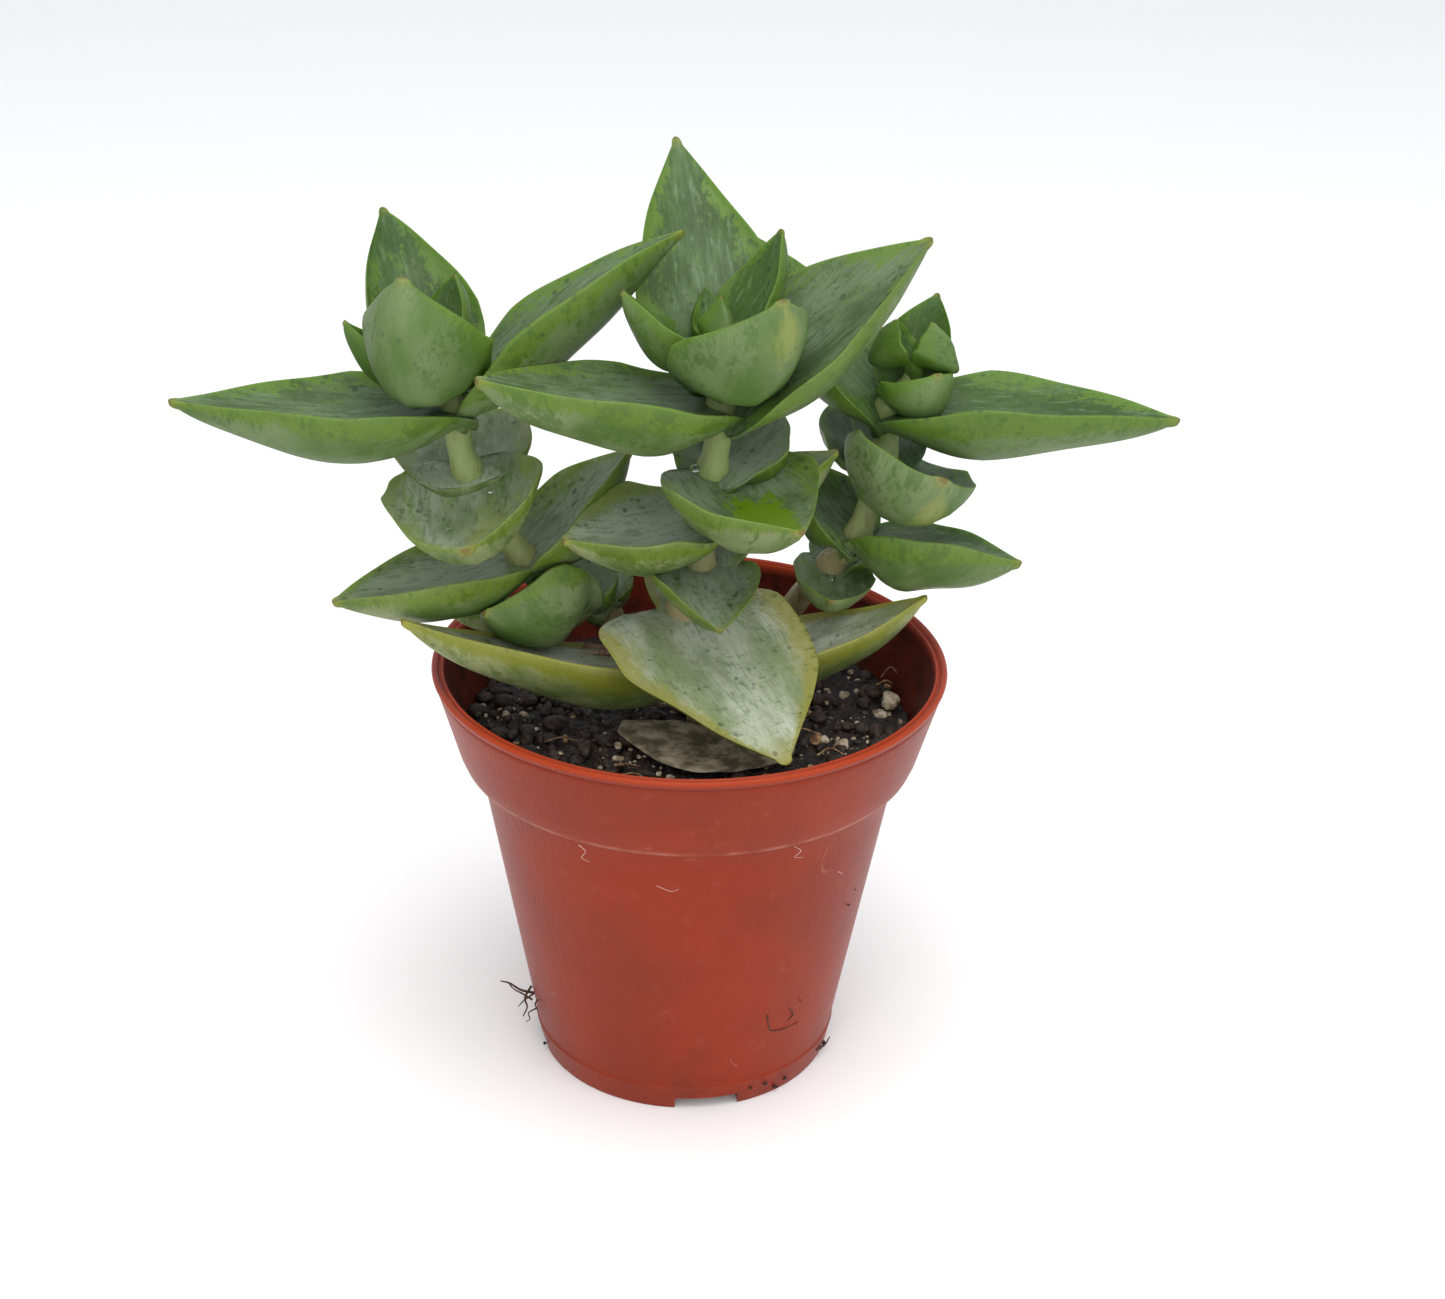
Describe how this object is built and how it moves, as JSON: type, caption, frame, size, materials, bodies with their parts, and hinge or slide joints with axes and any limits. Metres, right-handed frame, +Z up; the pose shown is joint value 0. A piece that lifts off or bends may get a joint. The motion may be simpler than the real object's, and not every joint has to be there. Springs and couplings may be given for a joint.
{
  "type": "string of buttons",
  "caption": "Potted succulent with opposite fused leaf pairs on leafy stems, in soil, in a small tapered nursery pot with a collar and a notched foot.",
  "frame": {"origin": "on the pot's axis, at the level of the surface that the foot stands on", "axes": "+Z up along the pot's axis; +X to the right and +Y away from the viewer of the picture"},
  "size_m": [0.0993, 0.055, 0.1005],
  "materials": {
    "pot_plastic": "semi-matte moulded plastic",
    "soil": null,
    "leaf": null,
    "dry_leaf": "withered and papery"
  },
  "bodies": {
    "root": {"pot": "pot_plastic", "soil": "soil", "leafy_stem_left": "leaf", "leafy_stem_middle": "leaf", "leafy_stem_right": "leaf", "old_leaf": "dry_leaf"}
  },
  "joints": []
}
